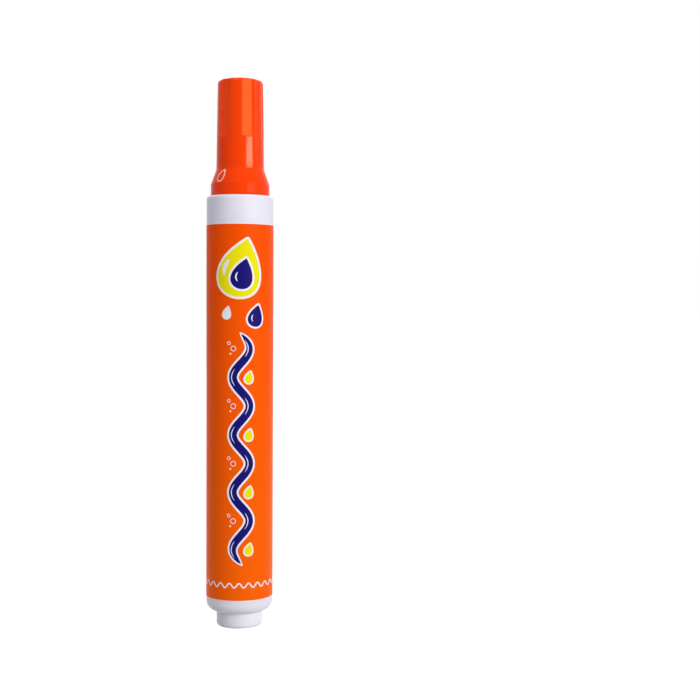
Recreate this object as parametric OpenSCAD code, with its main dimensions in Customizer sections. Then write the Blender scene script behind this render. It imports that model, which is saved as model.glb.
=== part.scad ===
// Stain remover pen: a capped barrel of cleaning fluid whose felt nib opens a spring valve
// when it is pressed on a stain. All sizes are in millimetres. The pen stands on its tail
// stub at the origin and points along +Z; the grip flats are counted from +X.

/* [Barrel] */
// Outer diameter of the barrel
barrel_d = 17; // [16:0.1:20]
// Length of the barrel, from its tail face to its mouth
barrel_len = 106; // [90:1:130]
// Wall thickness of the barrel
barrel_wall = 1.25; // [1:0.05:1.6]
// Thickness of the barrel's floor at the tail
barrel_floor = 1.6; // [1.2:0.1:2.4]
// Radius of the rounded shoulder at the tail
tail_round = 2.4; // [1:0.1:2.8]
// Radius of the fillet inside the tail
floor_fillet = 1.2; // [0.4:0.1:2]
// Radius of the rounded outer edge of the mouth
mouth_round = 0.9; // [0.3:0.1:1]
// Lead-in chamfer inside the mouth
mouth_chamfer = 0.2; // [0.1:0.05:0.3]

/* [Tail plug] */
// Diameter of the stub that the pen stands on
stub_d = 11.8; // [10.5:0.1:12]
// Height of the stub below the barrel
stub_len = 4; // [3:0.5:8]
// Radius of the stub's rounded lower edge
stub_round = 0.9; // [0.3:0.1:1.4]
// Thickness of the stub's bottom
stub_floor = 1.3; // [1:0.1:2]
// Diameter of the shank that is pressed through the barrel's floor
shank_d = 9; // [8:0.1:10]
// Length of the shank above the barrel's floor
shank_reach = 3.2; // [2:0.1:6]
// Wall thickness of the hollow shank
shank_wall = 1.2; // [0.8:0.1:1.6]
// Height that the plug's retaining bead stands out behind the floor
shank_bead = 0.25; // [0.1:0.05:0.4]

/* [Label] */
// Bare height between the barrel's rounded shoulder and the label
label_rise = 1.3; // [0.2:0.1:6]
// Height of the bare collar between the label and the mouth
collar_h = 7.3; // [3:0.1:15]
// Thickness of the label film
label_t = 0.1; // [0.05:0.05:0.2]

/* [Front section] */
// Length of the plug that is pressed into the barrel's mouth
plug_len = 11; // [10:0.1:13]
// Height of the flange that closes the mouth flush
flange_h = 1.2; // [0.8:0.1:2]
// Radial gap between the plug and the barrel, which the sealing rings bridge
plug_gap = 0.15; // [0.05:0.05:0.3]
// Number of sealing rings on the plug
ring_count = 3; // [2:1:4]
// Height of one sealing ring
ring_h = 0.7; // [0.4:0.1:1]
// Lead-in chamfer at the plug's lower end
plug_chamfer = 0.5; // [0.2:0.1:0.8]
// Diameter of the neck under the cap
neck_d = 11.5; // [11:0.1:12]
// Height of the neck above the mouth
neck_len = 4.6; // [4:0.1:5.4]
// Height that the click bead stands out from the neck
neck_bead = 0.15; // [0.1:0.05:0.3]
// Radius of the click bead's round section
bead_r = 0.3; // [0.3:0.05:0.5]
// Diameter of the nose where the cap's liner seals on it
nose_d = 7.2; // [6.8:0.1:7.8]
// Diameter of the nose at its tip
nose_tip_d = 6; // [5.7:0.1:6.4]
// Length of the nose above the neck
nose_len = 8.4; // [7:0.1:10]
// Height of the nose's straight sealing seat
seat_h = 2.6; // [2:0.1:4]
// Radius of the fillet between the neck's top and the nose
neck_fillet = 0.4; // [0.2:0.1:0.6]
// Thickness of the shelf that stops the nib carrier
stop_t = 1.2; // [0.8:0.1:2]
// Gap drawn between the carrier at rest and its stop
stop_gap = 0.02; // [0.01:0.01:0.05]
// Number of air grooves along the nose's bore
groove_count = 4; // [3:1:6]
// Width of one air groove
groove_w = 0.7; // [0.4:0.1:1]
// Depth of one air groove
groove_depth = 0.35; // [0.2:0.05:0.45]

/* [Nib] */
// Diameter of the felt nib
nib_d = 4.6; // [4.2:0.1:4.9]
// Length of nib that stands out of the nose
nib_out = 5.5; // [4.5:0.1:7]
// Radius of the nib's rounded tip
nib_round = 2; // [1:0.1:2.1]
// Chamfer of the nib's lower end, which leads it into its socket
nib_chamfer = 0.3; // [0.1:0.1:0.6]
// Distance that the nib is pressed in to open the valve
nib_travel = 1.8; // [1:0.1:2.4]
// Radial running gap between the nib and the nose's bore
nib_gap = 0.06; // [0.03:0.01:0.1]

/* [Nib carrier] */
// Depth of the socket that grips the nib
socket_depth = 3.4; // [2.5:0.1:5]
// Wall thickness of the socket
socket_wall = 1; // [0.7:0.1:1.2]
// Thickness of the web between the socket and the hub
web_t = 1.2; // [0.8:0.1:2]
// Length of the hub that is pressed on the stem
hub_len = 1.4; // [1:0.1:2.5]
// Wall thickness of the hub
hub_wall = 0.9; // [0.6:0.1:1.4]
// Width of the ring of fluid between the socket and its chamber
feed_gap = 0.6; // [0.4:0.05:0.8]
// Number of guide ribs, and of feed windows between them
rib_count = 4; // [3:1:5]
// Radial running gap of the guide ribs in the chamber
rib_gap = 0.06; // [0.03:0.01:0.1]
// Width of one guide rib
rib_w = 0.8; // [0.5:0.1:1.2]
// Width of one feed window in the socket's wall
window_w = 1.2; // [0.8:0.1:1.6]
// Height of one feed window in the socket's wall
window_h = 1.4; // [0.8:0.1:2]

/* [Valve] */
// Outer diameter of the valve body
valve_d = 10; // [9.6:0.1:10.8]
// Thickness of the web that holds the valve's seat
seat_web = 1.6; // [1:0.1:2.4]
// Diameter of the hole through the seat
seat_hole_d = 3.2; // [3:0.1:3.8]
// Width of the raised ring that the washer closes on
seat_ring_w = 0.5; // [0.3:0.1:0.8]
// Height of the raised ring that the washer closes on
seat_ring_h = 0.3; // [0.2:0.05:0.5]
// Thickness of the valve body's flange
valve_flange_t = 1; // [0.8:0.1:1.6]
// Width that the flange stands out from the valve body
valve_flange_w = 1; // [0.6:0.1:1.4]
// Depth that the spring cup is pressed into the valve body
cup_engage = 2; // [1.4:0.1:2.6]
// Diameter of the valve's rubber washer
seal_d = 5; // [4.9:0.1:5.2]
// Thickness of the valve's rubber washer
seal_t = 0.8; // [0.5:0.1:1.2]
// Gap drawn between the washer and the seat
seal_gap = 0.02; // [0.01:0.01:0.05]
// Diameter of the valve stem
stem_d = 2; // [1.8:0.1:2.2]
// Number of guide ribs on the stem
stem_rib_count = 4; // [3:1:5]
// Radius that the stem's guide ribs reach
stem_rib_r = 1.45; // [1.3:0.05:1.48]
// Thickness of one guide rib of the stem
stem_rib_t = 0.6; // [0.4:0.1:0.8]
// Diameter of the stem's head
head_d = 5.2; // [5.2:0.1:5.8]
// Thickness of the stem's head
head_t = 1.2; // [0.8:0.1:1.6]
// Diameter of the spigot that centres the spring
spigot_d = 3.4; // [3:0.1:3.6]
// Length of the spigot that centres the spring
spigot_len = 2.5; // [1.5:0.1:3.5]
// Radius of the spigot's rounded end
spigot_round = 0.6; // [0.3:0.1:1]
// Clearance left under the carrier when the nib is fully pressed
end_gap = 0.4; // [0.2:0.1:0.8]

/* [Spring and cup] */
// Wire diameter of the valve spring
wire_d = 0.4; // [0.3:0.05:0.5]
// Mean diameter of the valve spring
coil_d = 4.4; // [4.2:0.1:4.6]
// Installed length of the valve spring
spring_len = 8; // [7:0.1:9.5]
// Number of turns of the valve spring
coil_turns = 7; // [5:1:9]
// Pitch of the closed turn at each end, in wire diameters
closed_pitch = 1.1; // [1.05:0.05:1.3]
// Radial gap between the stem's head and the spring cup
head_gap = 0.25; // [0.15:0.05:0.5]
// Wall thickness of the spring cup
cup_wall = 0.7; // [0.5:0.1:0.9]
// Thickness of the spring cup's floor
cup_floor = 1; // [0.8:0.1:1.6]
// Thickness of the spring cup's flange
cup_flange_t = 0.8; // [0.6:0.1:1.2]
// Width that the spring cup's flange stands out
cup_flange_w = 0.8; // [0.5:0.1:1.2]
// Radius of the spring cup's rounded lower edge
cup_round = 0.35; // [0.2:0.05:0.6]
// Number of feed windows in the spring cup
cup_window_count = 4; // [3:1:6]
// Width of one feed window in the spring cup
cup_window_w = 1.8; // [1:0.1:2.2]
// Diameter of the drain hole in the spring cup's floor
drain_d = 2; // [1:0.1:3]

/* [Cleaning fluid] */
// Volume of cleaning fluid, in millilitres
fluid_ml = 10; // [5:0.5:11]
// Gap drawn between the fluid and the walls that hold it
fluid_gap = 0.03; // [0.01:0.01:0.1]

/* [Cap] */
// Diameter of the band round the cap's mouth
band_d = 15; // [14.2:0.1:16]
// Height of the band round the cap's mouth
band_h = 2.9; // [2:0.1:5]
// Radius of the rounded lower edge of the band
band_round = 0.3; // [0.1:0.1:0.5]
// Radius of the rounded corner between the band and the cone
band_shoulder = 0.5; // [0.2:0.1:1]
// Height of the cone between the band and the cap's body
cone_h = 3.8; // [2.4:0.1:6]
// Radius of the fillet between the cone and the cap's body
cone_fillet = 1.4; // [0.6:0.1:2]
// Diameter of the cap's body above the cone
cap_low_d = 12.2; // [11.8:0.1:13]
// Diameter of the cap's body at the top
cap_top_d = 11.5; // [11.2:0.1:12.6]
// Height of the whole cap
cap_len = 29.4; // [28:0.1:36]
// Radius of the rounded edge of the cap's top
cap_round = 1; // [0.4:0.1:1.2]
// Thickness of the cap's top
cap_top_t = 1.3; // [1:0.1:2]
// Diameter of the moulding gate's shallow recess in the cap's top
gate_d = 2.4; // [1:0.1:3]
// Depth of the moulding gate's recess
gate_depth = 0.25; // [0.1:0.05:0.4]
// Gap between the closed cap and the barrel's mouth
cap_gap = 0.05; // [0.02:0.01:0.2]
// Radial running gap between the cap's skirt and the neck's bead
skirt_gap = 0.05; // [0.02:0.01:0.1]
// Gap between the neck's top and the ceiling of the cap's skirt
ceiling_gap = 0.3; // [0.1:0.1:0.6]
// Lead-in chamfer at the mouth of the cap's skirt
skirt_chamfer = 0.5; // [0.2:0.1:0.8]
// Depth of the skirt's groove round the neck's click bead
click_groove = 0.2; // [0.1:0.05:0.3]
// Number of grip flats round the cap
flat_count = 6; // [4:1:8]
// Width of one grip flat
flat_w = 2.7; // [2:0.1:3.4]
// Depth of a grip flat at its middle
flat_depth = 0.34; // [0.25:0.01:0.45]
// Length of a grip flat, from its step to the cap's top
flat_len = 14.7; // [8:0.1:20]
// Angle of the first grip flat from +X
flat_turn = 52.7; // [0:0.1:60]

/* [Cap liner] */
// Radial running gap between the liner's lip and the nose
lip_gap = 0.05; // [0.02:0.01:0.1]
// Height of the lip that seals on the nose
lip_h = 1.5; // [1:0.1:2]
// Lead-in chamfer below the liner's lip
lip_chamfer = 0.4; // [0.2:0.1:0.6]
// Extra radius inside the liner above its lip
liner_relief = 0.25; // [0.1:0.05:0.4]
// Wall thickness of the liner
liner_wall = 0.8; // [0.6:0.1:1]
// Thickness of the liner's closed top
liner_top_t = 0.8; // [0.6:0.1:1.4]

/* [Hidden] */
$fn = 96;

white = "#e8e7ee";
cap_orange = "#f4470b";
label_orange = "#f05a08";
natural = "#f3f2ea";
felt = "#f6f4ec";
rubber = "#3a3a3d";
steel = "#b9bcc0";
fluid_blue = "#cfe6f2";

// Length that a cutting tool runs past the face it opens
over = 0.5;

// Barrel and tail
barrel_r = barrel_d / 2;
bore_r = barrel_r - barrel_wall;
tail_z = stub_len;
floor_z = tail_z + barrel_floor;
mouth_z = tail_z + barrel_len;
shank_r = shank_d / 2;
shank_top_z = floor_z + shank_reach;
plug_hollow_r = shank_r - shank_wall;
label_z = tail_z + tail_round + label_rise;
label_top_z = mouth_z - collar_h;

// Neck and nose
neck_r = neck_d / 2;
neck_top_z = mouth_z + neck_len;
neck_bead_z = mouth_z + neck_len / 2;
nose_r = nose_d / 2;
nose_top_z = neck_top_z + nose_len;
nib_r = nib_d / 2;
nose_bore_r = nib_r + nib_gap;
nib_tip_z = nose_top_z + nib_out;
plug_low_z = mouth_z - plug_len;

// Nib carrier, hanging from the shelf that stops it
shelf_z = neck_top_z - stop_t;
carrier_top_z = shelf_z - stop_gap;
nib_low_z = carrier_top_z - socket_depth;
web_low_z = nib_low_z - web_t;
carrier_low_z = web_low_z - hub_len;
socket_r = nib_r + socket_wall;
chamber_r = socket_r + feed_gap;
stem_r = stem_d / 2;

// Valve, counted down from the carrier
valve_r = valve_d / 2;
valve_top_z = carrier_low_z - nib_travel - end_gap;
seat_z = valve_top_z - seat_web;
seat_hole_r = seat_hole_d / 2;
seal_top_z = seat_z - seat_ring_h - seal_gap;
head_top_z = seal_top_z - seal_t;
head_low_z = head_top_z - head_t;
head_r = head_d / 2;
cup_r = head_r + head_gap;
recess_r = cup_r + cup_wall;
valve_low_z = plug_low_z - valve_flange_t;
cup_floor_z = head_low_z - spring_len;
cup_low_z = cup_floor_z - cup_floor;

// Fluid
fluid_r = bore_r - fluid_gap;
fluid_top_z = floor_z + 1000 * fluid_ml / (PI * pow(fluid_r, 2));

// Cap
cap_z = mouth_z + cap_gap;
cap_top_z = cap_z + cap_len;
band_top_z = cap_z + band_h;
cone_top_z = band_top_z + cone_h;
skirt_r = neck_r + neck_bead + skirt_gap;
skirt_top_z = neck_top_z + ceiling_gap;
lip_r = nose_r + lip_gap;
liner_r = lip_r + liner_relief + liner_wall;
liner_top_z = cap_top_z - cap_top_t;
cap_draft = atan((cap_low_d - cap_top_d) / 2 / (cap_top_z - cone_top_z));
flat_z = cap_top_z - flat_len;
flat_r = cap_low_d / 2 - (flat_z - cone_top_z) * tan(cap_draft);

// Rounding tool for a square corner of a profile: takes the corner at (r, z) back to a
// radius. The corner is an outer one in the directions side_r and side_z, each 1 or -1.
module round_corner(r, z, radius, side_r, side_z) {
    translate([r - side_r * radius, z - side_z * radius])
        mirror([side_r < 0 ? 1 : 0, 0]) mirror([0, side_z < 0 ? 1 : 0])
            difference() {
                square(radius + over);
                circle(radius);
            }
}

// Unit vector along v
function unit(v) = v / norm(v);

// Half the angle at a corner of a profile, whose sides run towards points a and b
function half_angle(corner, a, b) = acos(unit(a - corner) * unit(b - corner)) / 2;

// Centre of the arc of that radius which touches both sides of the corner
function arc_centre(corner, a, b, radius) =
    corner + unit(unit(a - corner) + unit(b - corner)) * radius / sin(half_angle(corner, a, b));

// Point where that arc touches the side towards a
function arc_end(corner, a, b, radius) =
    corner + unit(a - corner) * radius / tan(half_angle(corner, a, b));

// Rounding tool for a corner of any angle: takes an outer corner back to the arc of that
// radius which touches both of its sides
module corner_tool(corner, a, b, radius) {
    centre = arc_centre(corner, a, b, radius);
    difference() {
        polygon([arc_end(corner, a, b, radius), corner + unit(corner - centre) * over,
                 arc_end(corner, b, a, radius), centre]);
        translate(centre) circle(radius);
    }
}

// Lead-in chamfer for a bore of radius r, opening at height z: a ring of triangular section
// that runs a little past the mouth. It opens upwards for side 1 and downwards for side -1.
module lead_in(r, z, size, side) {
    polygon([[0, z - side * size], [r, z - side * size], [r + size + over, z + side * over],
             [0, z + side * over]]);
}

// Straight step of a turned profile: radius r between heights low and high
module disc(r, low, high) {
    translate([0, low]) square([r, high - low]);
}

// Ring of box tools round the axis, for ribs, grooves and windows that reach from
// radius near to radius far
module spokes(count, width, near, far, low, high, turn = 0) {
    for (i = [0 : count - 1])
        rotate(turn + i * 360 / count)
            translate([near, -width / 2, low]) cube([far - near, width, high - low]);
}

// White tube with a rounded shoulder at the tail and an open mouth
module barrel() {
    color(white) rotate_extrude() difference() {
        disc(barrel_r, tail_z, mouth_z);
        difference() {
            disc(bore_r, floor_z, mouth_z + over);
            round_corner(bore_r, floor_z, floor_fillet, 1, -1);
        }
        disc(shank_r, tail_z - over, floor_z + over);
        lead_in(bore_r, mouth_z, mouth_chamfer, 1);
        round_corner(barrel_r, tail_z, tail_round, 1, -1);
        round_corner(barrel_r, mouth_z, mouth_round, 1, 1);
    }
}

// White stub that closes the tail. Its hollow shank is pressed through the barrel's floor
// and holds behind it with a bead.
module tail_plug() {
    bead_z = floor_z + shank_bead;
    color(white) rotate_extrude() difference() {
        union() {
            disc(stub_d / 2, 0, tail_z);
            disc(shank_r, tail_z, shank_top_z);
            intersection() {
                translate([shank_r, bead_z]) circle(shank_bead);
                disc(bore_r, floor_z, shank_top_z);
            }
        }
        disc(plug_hollow_r, stub_floor, shank_top_z + over);
        round_corner(stub_d / 2, 0, stub_round, 1, -1);
    }
}

// Orange printed film, wrapped round the barrel
module label_sleeve() {
    color(label_orange) translate([0, 0, label_z]) difference() {
        cylinder(r = barrel_r + label_t, h = label_top_z - label_z);
        translate([0, 0, -over]) cylinder(r = barrel_r, h = label_top_z - label_z + 2 * over);
    }
}

// White nib holder: a plug with sealing rings for the barrel, a neck with a click bead for
// the cap, and a nose that guides the nib. The carrier's chamber and the valve's bore
// follow each other inside.
module front_section() {
    plug_r = bore_r - plug_gap;
    ring_pitch = (plug_len - flange_h) / (ring_count + 1);
    color(white) difference() {
        rotate_extrude() difference() {
            union() {
                disc(plug_r, plug_low_z, mouth_z);
                disc(bore_r, mouth_z - flange_h, mouth_z);
                for (i = [1 : ring_count])
                    disc(bore_r, plug_low_z + i * ring_pitch - ring_h / 2,
                         plug_low_z + i * ring_pitch + ring_h / 2);
                disc(neck_r, mouth_z, neck_top_z);
                translate([neck_r + neck_bead - bead_r, neck_bead_z]) circle(bead_r);
                disc(nose_r, neck_top_z, neck_top_z + seat_h);
                difference() {
                    disc(nose_r + neck_fillet, neck_top_z, neck_top_z + neck_fillet);
                    translate([nose_r + neck_fillet, neck_top_z + neck_fillet]) circle(neck_fillet);
                }
                polygon([[0, neck_top_z + seat_h], [nose_r, neck_top_z + seat_h],
                         [nose_tip_d / 2, nose_top_z], [0, nose_top_z]]);
            }
            round_corner(neck_r, neck_top_z, neck_fillet, 1, 1);
            round_corner(nose_tip_d / 2, nose_top_z, nose_tip_d / 2 - nose_bore_r - groove_depth, 1, 1);
            translate([plug_r, plug_low_z]) rotate(45) square(plug_chamfer * sqrt(2), center = true);
            disc(valve_r, plug_low_z - over, valve_top_z);
            disc(chamber_r, valve_top_z - over, shelf_z);
            disc(nose_bore_r, shelf_z - over, nose_top_z + over);
        }
        spokes(groove_count, groove_w, 0, nose_bore_r + groove_depth,
               shelf_z - over, nose_top_z + over, 180 / groove_count);
    }
}

// Round-tipped felt rod
module nib() {
    color(felt) rotate_extrude() difference() {
        disc(nib_r, nib_low_z, nib_tip_z);
        round_corner(nib_r, nib_tip_z, nib_round, 1, 1);
        translate([nib_r, nib_low_z]) rotate(45) square(nib_chamfer * sqrt(2), center = true);
    }
}

// Plunger that grips the nib in its socket and the stem in its hub. Ribs guide it in its
// chamber, and windows between them let the fluid into the nib.
module nib_carrier() {
    color(natural) difference() {
        union() {
            rotate_extrude() difference() {
                union() {
                    disc(socket_r, web_low_z, carrier_top_z);
                    disc(stem_r + hub_wall, carrier_low_z, web_low_z);
                }
                disc(nib_r, nib_low_z, carrier_top_z + over);
                disc(stem_r, carrier_low_z - over, nib_low_z + over);
            }
            intersection() {
                spokes(rib_count, rib_w, nib_r + socket_wall / 2, chamber_r, web_low_z, carrier_top_z);
                cylinder(r = chamber_r - rib_gap, h = carrier_top_z);
            }
        }
        spokes(rib_count, window_w, stem_r + hub_wall, chamber_r, nib_low_z - web_t / 2,
               nib_low_z + window_h, 180 / rib_count);
    }
}

// Bush with the valve's seat, pressed into the front section from below
module valve_body() {
    color(natural) rotate_extrude() difference() {
        union() {
            disc(valve_r, valve_low_z, valve_top_z);
            disc(valve_r + valve_flange_w, valve_low_z, plug_low_z);
        }
        difference() {
            disc(recess_r, valve_low_z - over, seat_z);
            translate([seat_hole_r, seat_z - seat_ring_h]) square([seat_ring_w, seat_ring_h + over]);
        }
        disc(seat_hole_r, seat_z - over, valve_top_z + over);
    }
}

// Rubber washer that closes the seat
module valve_seal() {
    color(rubber) translate([0, 0, head_top_z]) difference() {
        cylinder(d = seal_d, h = seal_t);
        translate([0, 0, -over]) cylinder(r = stem_r, h = seal_t + 2 * over);
    }
}

// Stem with guide ribs in the seat's hole, a head behind the washer and a spigot
// inside the spring
module valve_stem() {
    color(natural) union() {
        rotate_extrude() {
            disc(stem_r, head_top_z, nib_low_z);
            disc(head_r, head_low_z, head_top_z);
            difference() {
                disc(spigot_d / 2, head_low_z - spigot_len, head_low_z);
                round_corner(spigot_d / 2, head_low_z - spigot_len, spigot_round, 1, -1);
            }
        }
        spokes(stem_rib_count, stem_rib_t, 0, stem_rib_r, seal_top_z, carrier_low_z);
    }
}

// Height of the spring's wire after a number of turns: one closed turn at each end and
// even open turns between them
function coil_z(turn) =
    let (closed = closed_pitch * wire_d,
         open = (spring_len - wire_d - 2 * closed) / (coil_turns - 2))
    cup_floor_z + wire_d / 2
        + closed * min(turn, 1)
        + open * max(min(turn - 1, coil_turns - 2), 0)
        + closed * max(turn - coil_turns + 1, 0);

// Compression spring: a round wire swept along the coil as rings of points
module valve_spring() {
    sides = 8;
    steps = 14;
    rings = coil_turns * steps;
    points = [for (i = [0 : rings], k = [0 : sides - 1])
        let (turn = 360 * i / steps, edge = 360 * k / sides, r = coil_d / 2 + wire_d / 2 * cos(edge))
        [r * cos(turn), r * sin(turn), coil_z(i / steps) + wire_d / 2 * sin(edge)]];
    walls = [for (i = [0 : rings - 1], k = [0 : sides - 1])
        let (next = (k + 1) % sides)
        [i * sides + k, (i + 1) * sides + k, (i + 1) * sides + next, i * sides + next]];
    low_end = [for (k = [0 : sides - 1]) k];
    high_end = [for (k = [sides - 1 : -1 : 0]) rings * sides + k];
    color(steel) polyhedron(points, concat([low_end, high_end], walls));
}

// Cup that is pressed into the valve body, holds the spring and lets the fluid in
module spring_cup() {
    cup_top_z = valve_low_z + cup_engage;
    flange_low_z = valve_low_z - cup_flange_t;
    color(natural) difference() {
        rotate_extrude() difference() {
            union() {
                disc(recess_r, cup_low_z, cup_top_z);
                disc(recess_r + cup_flange_w, flange_low_z, valve_low_z);
            }
            disc(cup_r, cup_floor_z, cup_top_z + over);
            disc(drain_d / 2, cup_low_z - over, cup_floor_z + over);
            round_corner(recess_r, cup_low_z, cup_round, 1, -1);
        }
        spokes(cup_window_count, cup_window_w, drain_d / 2, recess_r + over,
               cup_floor_z, flange_low_z);
    }
}

// Cleaning fluid that stands in the tail of the barrel and in the hollow plug
module cleaning_fluid() {
    color(fluid_blue) rotate_extrude() {
        difference() {
            disc(fluid_r, floor_z + fluid_gap, fluid_top_z);
            round_corner(fluid_r, floor_z + fluid_gap, floor_fillet, 1, -1);
            disc(shank_r + shank_bead + fluid_gap, floor_z, shank_top_z + fluid_gap);
        }
        disc(plug_hollow_r - fluid_gap, stub_floor + fluid_gap, shank_top_z + over);
    }
}

// Orange outer cap: band, cone and drafted body with a ring of grip flats cut into it.
// Its skirt slides over the neck and its bore holds the liner.
module cap_shell() {
    band_foot = [band_d / 2, cap_z];
    band_top = [band_d / 2, band_top_z];
    cone_top = [cap_low_d / 2, cone_top_z];
    rim = [cap_top_d / 2, cap_top_z];
    fillet_centre = arc_centre(cone_top, band_top, rim, cone_fillet);
    color(cap_orange) difference() {
        rotate_extrude() difference() {
            polygon([[0, cap_z], band_foot, band_top,
                     arc_end(cone_top, band_top, rim, cone_fillet), fillet_centre,
                     arc_end(cone_top, rim, band_top, cone_fillet), rim, [0, cap_top_z]]);
            translate(fillet_centre) circle(cone_fillet);
            corner_tool(band_foot, [0, cap_z], band_top, band_round);
            corner_tool(band_top, band_foot, cone_top, band_shoulder);
            corner_tool(rim, cone_top, [0, cap_top_z], cap_round);
            disc(gate_d / 2, cap_top_z - gate_depth, cap_top_z + over);
            disc(skirt_r, cap_z - over, skirt_top_z);
            lead_in(skirt_r, cap_z, skirt_chamfer, -1);
            translate([skirt_r, neck_bead_z]) circle(click_groove);
            disc(liner_r, skirt_top_z - over, liner_top_z);
        }
        for (i = [0 : flat_count - 1])
            rotate(flat_turn + i * 360 / flat_count)
                translate([flat_r - flat_depth, 0, flat_z]) rotate([0, -cap_draft, 0])
                    translate([0, -flat_w / 2, 0]) cube([flat_w, flat_w, flat_len + over]);
    }
}

// Natural inner cap whose lip closes on the nose round the nib
module cap_liner() {
    color(natural) rotate_extrude() difference() {
        disc(liner_r, skirt_top_z, liner_top_z);
        disc(lip_r, skirt_top_z - over, skirt_top_z + lip_h);
        lead_in(lip_r, skirt_top_z, lip_chamfer, -1);
        disc(lip_r + liner_relief, skirt_top_z + lip_h, liner_top_z - liner_top_t);
    }
}

barrel();
tail_plug();
label_sleeve();
front_section();
nib();
nib_carrier();
valve_body();
valve_seal();
valve_stem();
valve_spring();
spring_cup();
cleaning_fluid();
cap_shell();
cap_liner();
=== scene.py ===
import math

import bmesh
import bpy
import numpy as np
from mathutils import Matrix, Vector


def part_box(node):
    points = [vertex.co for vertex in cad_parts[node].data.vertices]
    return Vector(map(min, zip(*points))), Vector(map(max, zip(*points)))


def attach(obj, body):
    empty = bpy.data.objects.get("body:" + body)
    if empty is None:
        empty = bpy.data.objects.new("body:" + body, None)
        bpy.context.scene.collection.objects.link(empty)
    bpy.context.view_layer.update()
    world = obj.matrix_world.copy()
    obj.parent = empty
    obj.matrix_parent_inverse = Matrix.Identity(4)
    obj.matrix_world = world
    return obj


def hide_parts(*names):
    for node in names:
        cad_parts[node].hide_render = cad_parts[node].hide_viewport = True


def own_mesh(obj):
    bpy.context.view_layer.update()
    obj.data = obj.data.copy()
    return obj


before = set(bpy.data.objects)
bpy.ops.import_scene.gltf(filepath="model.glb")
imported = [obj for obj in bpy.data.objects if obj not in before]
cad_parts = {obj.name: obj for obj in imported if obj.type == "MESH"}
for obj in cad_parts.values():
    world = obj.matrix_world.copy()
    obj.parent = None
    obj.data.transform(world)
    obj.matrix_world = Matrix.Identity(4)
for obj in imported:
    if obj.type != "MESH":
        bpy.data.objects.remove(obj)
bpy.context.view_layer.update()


# Barrel. A moulded tube of white polypropylene with a rounded shoulder at the tail. Its
# wall is a little translucent and has the soft, faint ripple of a moulded surface. The CAD
# shape is right, so the node only gets its finish.
MM = 0.001
WHITE = (0.80, 0.79, 0.86, 1)
WHITE_ROUGHNESS = 0.40
WHITE_RIPPLE = (0.9 * MM, 0.004 * MM)
WHITE_SCATTER = (1.2, 1.1, 1.4)
SHADING = (0.96, 0.95, 0.96, 1)
SHADING_PACE = 0.25
ROUGHER = 0.05
SMOOTHER = 0.03


def set_inputs(owner, node, inputs):
    """Sets numbers on a node's inputs, or links sockets to them."""
    for name, value in inputs.items():
        if isinstance(value, bpy.types.NodeSocket):
            owner.node_tree.links.new(value, node.inputs[name])
        else:
            node.inputs[name].default_value = value


def wire(owner, kind, inputs, **settings):
    """A new node of that kind in the tree of a material or the world, with its settings and inputs."""
    node = owner.node_tree.nodes.new(kind)
    for name, value in settings.items():
        setattr(node, name, value)
    set_inputs(owner, node, inputs)
    return node


def join(material, inputs):
    """Sets numbers on the material's own shader, or links sockets to it."""
    set_inputs(material, material.node_tree.nodes["Principled BSDF"], inputs)


def blank(name):
    """A new material with only its shader."""
    material = bpy.data.materials.new(name)
    material.use_nodes = True
    return material


def place_on(material):
    """The point of the object itself, in metres, which every pattern here is worked out from."""
    return wire(material, "ShaderNodeTexCoord", {}).outputs["Object"]


def noise(material, place, scale, detail):
    """A noise of about 0 to 1, with that many waves to the metre and that many finer octaves."""
    node = wire(material, "ShaderNodeTexNoise", {"Vector": place, "Scale": scale, "Detail": detail})
    return node.outputs["Fac"]


def between(material, share, low, high):
    """A number that goes from low to high as the share goes from 0 to 1."""
    node = wire(material, "ShaderNodeMapRange", {"Value": share, "To Min": low, "To Max": high})
    return node.outputs["Result"]


def mixed(material, share, first, second, **settings):
    """A colour that goes from the first to the second as the share goes from 0 to 1."""
    node = wire(material, "ShaderNodeMix", {"Factor": share, "A": first, "B": second},
                data_type="RGBA", **settings)
    return node.outputs["Result"]


def dented(material, height, strength, depth):
    """A normal bent by a height of 0 to 1, which stands for that depth in metres."""
    node = wire(material, "ShaderNodeBump", {"Height": height, "Strength": strength, "Distance": depth})
    return node.outputs["Normal"]


def moulded(name, colour, roughness, ripple, scatter):
    """Moulded plastic. Its colour wanders by a few hundredths with a slow noise, its gloss with a
    finer one, and a soft ripple of that length and depth in metres bends its reflections. Red, green
    and blue light scatters in it over those distances in millimetres."""
    material = blank(name)
    place = place_on(material)
    length, depth = ripple
    slow = noise(material, place, SHADING_PACE / length, detail=2)
    fine = noise(material, place, 1 / length, detail=4)
    shaded = [channel * share for channel, share in zip(colour, SHADING)]
    join(material, {"Base Color": mixed(material, slow, colour, shaded),
                    "Roughness": between(material, fine, roughness - SMOOTHER, roughness + ROUGHER),
                    "Normal": dented(material, fine, strength=0.4, depth=depth),
                    "Subsurface Weight": 0.25, "Subsurface Radius": scatter, "Subsurface Scale": MM})
    return material


def dress(material, *nodes):
    """Gives CAD nodes that material."""
    for node in nodes:
        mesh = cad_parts[node].data
        mesh.materials.clear()
        mesh.materials.append(material)


white_plastic = moulded("white_polypropylene", WHITE, WHITE_ROUGHNESS, WHITE_RIPPLE, WHITE_SCATTER)
join(white_plastic, {"Specular IOR Level": 0.14})
dress(white_plastic, "barrel")


# Tail plug. The white stub that the pen stands on, pressed through the barrel's floor. It is moulded by
# itself in the same plastic, and its white is painted lighter than the barrel's: painted light for the
# glow near the floor.
PLUG_WHITE_PAINTED_LIGHT = (0.88, 0.88, 0.93, 1)
lit_plug_plastic = moulded("plug_polypropylene_painted_light", PLUG_WHITE_PAINTED_LIGHT, WHITE_ROUGHNESS, WHITE_RIPPLE, WHITE_SCATTER)
join(lit_plug_plastic, {"Specular IOR Level": 0.2})
dress(lit_plug_plastic, "tail_plug")


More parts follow.
